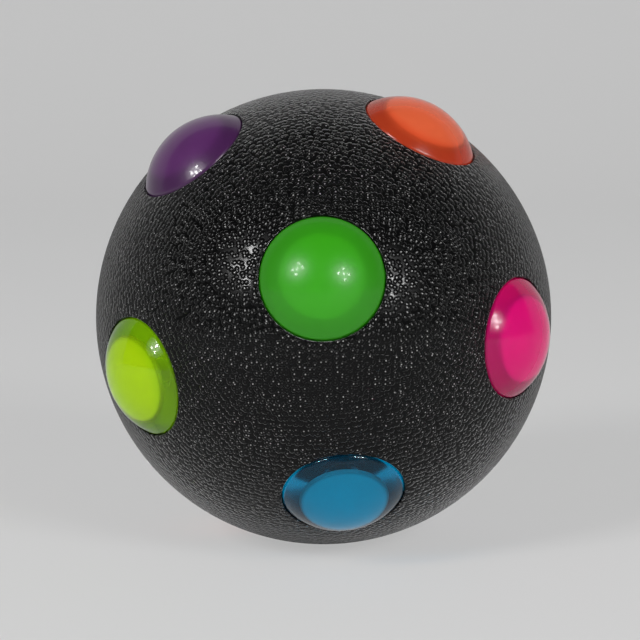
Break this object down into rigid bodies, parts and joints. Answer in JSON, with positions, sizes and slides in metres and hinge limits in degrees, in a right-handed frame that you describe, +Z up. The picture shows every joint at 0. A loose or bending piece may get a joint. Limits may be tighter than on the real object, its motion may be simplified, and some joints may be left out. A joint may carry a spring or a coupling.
{
  "type": "light-up dome ball",
  "caption": "Black pebbled toy ball with sprung, lit, translucent domes spaced evenly over it and a screwed battery door.",
  "frame": {"origin": "centre of the ball", "axes": "+Z up as the ball lies on its level facet, -Y to the front, where the green dome faces, +X to the right seen from the front"},
  "size_m": [0.1, 0.105, 0.099],
  "materials": {
    "shell": "pebbled satin",
    "dome_green": "clear tinted gloss",
    "dome_pink": "clear tinted gloss",
    "dome_orange": "clear tinted gloss",
    "dome_purple": "clear tinted gloss",
    "dome_lime": "clear tinted gloss",
    "dome_blue": "clear tinted gloss",
    "diffuser": "frosted",
    "silicone": "soft matte",
    "board": "lacquered",
    "steel": "plain",
    "contact": "plain",
    "wire": "matte"
  },
  "bodies": {
    "ball": {"front_shell": "shell", "rear_shell": "shell", "return_ring_green": "silicone", "led_board_green": "board", "return_ring_green_rear": "silicone", "led_board_green_rear": "board", "return_ring_pink": "silicone", "led_board_pink": "board", "return_ring_pink_rear": "silicone", "led_board_pink_rear": "board", "return_ring_orange": "silicone", "led_board_orange": "board", "return_ring_orange_rear": "silicone", "led_board_orange_rear": "board", "return_ring_purple": "silicone", "led_board_purple": "board", "return_ring_purple_rear": "silicone", "led_board_purple_rear": "board", "return_ring_lime": "silicone", "led_board_lime": "board", "return_ring_lime_rear": "silicone", "led_board_lime_rear": "board", "return_ring_blue": "silicone", "led_board_blue": "board", "return_ring_blue_rear": "silicone", "led_board_blue_rear": "board", "coin_cell_outer": "steel", "coin_cell_inner": "steel", "battery_contact_inner": "contact", "battery_contact_side": "contact", "main_board": "board", "main_board_screw": "steel", "wire_harness": "wire"},
    "button_green": {"dome_green": "dome_green", "diffuser_green": "diffuser"},
    "button_green_rear": {"dome_green_rear": "dome_green", "diffuser_green_rear": "diffuser"},
    "button_pink": {"dome_pink": "dome_pink", "diffuser_pink": "diffuser"},
    "button_pink_rear": {"dome_pink_rear": "dome_pink", "diffuser_pink_rear": "diffuser"},
    "button_orange": {"dome_orange": "dome_orange", "diffuser_orange": "diffuser"},
    "button_orange_rear": {"dome_orange_rear": "dome_orange", "diffuser_orange_rear": "diffuser"},
    "button_purple": {"dome_purple": "dome_purple", "diffuser_purple": "diffuser"},
    "button_purple_rear": {"dome_purple_rear": "dome_purple", "diffuser_purple_rear": "diffuser"},
    "button_lime": {"dome_lime": "dome_lime", "diffuser_lime": "diffuser"},
    "button_lime_rear": {"dome_lime_rear": "dome_lime", "diffuser_lime_rear": "diffuser"},
    "button_blue": {"dome_blue": "dome_blue", "diffuser_blue": "diffuser"},
    "button_blue_rear": {"dome_blue_rear": "dome_blue", "diffuser_blue_rear": "diffuser"},
    "battery_cover": {"battery_door": "shell", "battery_door_screw": "steel"}
  },
  "joints": [
    {"name": "press_green", "type": "slide", "parent": "ball", "child": "button_green", "axis": [0, 0.9574, -0.2888], "range_m": [0, 0.002], "stiffness_N_per_m": 300, "springref_m": -0.002, "deforming": ["return_ring_green"]},
    {"name": "press_green_rear", "type": "slide", "parent": "ball", "child": "button_green_rear", "axis": [0, -0.9574, 0.2888], "range_m": [0, 0.002], "stiffness_N_per_m": 300, "springref_m": -0.002, "deforming": ["return_ring_green_rear"]},
    {"name": "press_pink", "type": "slide", "parent": "ball", "child": "button_pink", "axis": [-0.833, 0.5526, 0.0278], "range_m": [0, 0.002], "stiffness_N_per_m": 300, "springref_m": -0.002, "deforming": ["return_ring_pink"]},
    {"name": "press_pink_rear", "type": "slide", "parent": "ball", "child": "button_pink_rear", "axis": [0.833, -0.5526, -0.0278], "range_m": [0, 0.002], "stiffness_N_per_m": 300, "springref_m": -0.002, "deforming": ["return_ring_pink_rear"]},
    {"name": "press_orange", "type": "slide", "parent": "ball", "child": "button_orange", "axis": [-0.4345, 0.2866, -0.8539], "range_m": [0, 0.002], "stiffness_N_per_m": 300, "springref_m": -0.002, "deforming": ["return_ring_orange"]},
    {"name": "press_orange_rear", "type": "slide", "parent": "ball", "child": "button_orange_rear", "axis": [0.4345, -0.2866, 0.8539], "range_m": [0, 0.002], "stiffness_N_per_m": 300, "springref_m": -0.002, "deforming": ["return_ring_orange_rear"]},
    {"name": "press_purple", "type": "slide", "parent": "ball", "child": "button_purple", "axis": [0.5645, 0.3139, -0.7635], "range_m": [0, 0.002], "stiffness_N_per_m": 300, "springref_m": -0.002, "deforming": ["return_ring_purple"]},
    {"name": "press_purple_rear", "type": "slide", "parent": "ball", "child": "button_purple_rear", "axis": [-0.5645, -0.3139, 0.7635], "range_m": [0, 0.002], "stiffness_N_per_m": 300, "springref_m": -0.002, "deforming": ["return_ring_purple_rear"]},
    {"name": "press_lime", "type": "slide", "parent": "ball", "child": "button_lime", "axis": [0.7834, 0.5967, 0.1741], "range_m": [0, 0.002], "stiffness_N_per_m": 300, "springref_m": -0.002, "deforming": ["return_ring_lime"]},
    {"name": "press_lime_rear", "type": "slide", "parent": "ball", "child": "button_lime_rear", "axis": [-0.7834, -0.5967, -0.1741], "range_m": [0, 0.002], "stiffness_N_per_m": 300, "springref_m": -0.002, "deforming": ["return_ring_lime_rear"]},
    {"name": "press_blue", "type": "slide", "parent": "ball", "child": "button_blue", "axis": [-0.0803, 0.7442, 0.6631], "range_m": [0, 0.002], "stiffness_N_per_m": 300, "springref_m": -0.002, "deforming": ["return_ring_blue"]},
    {"name": "press_blue_rear", "type": "slide", "parent": "ball", "child": "button_blue_rear", "axis": [0.0803, -0.7442, -0.6631], "range_m": [0, 0.002], "stiffness_N_per_m": 300, "springref_m": -0.002, "deforming": ["return_ring_blue_rear"]},
    {"name": "battery_door_lift", "type": "slide", "parent": "ball", "child": "battery_cover", "axis": [0.2901, 0.9284, 0.2324], "range_m": [0, 0.02]}
  ]
}
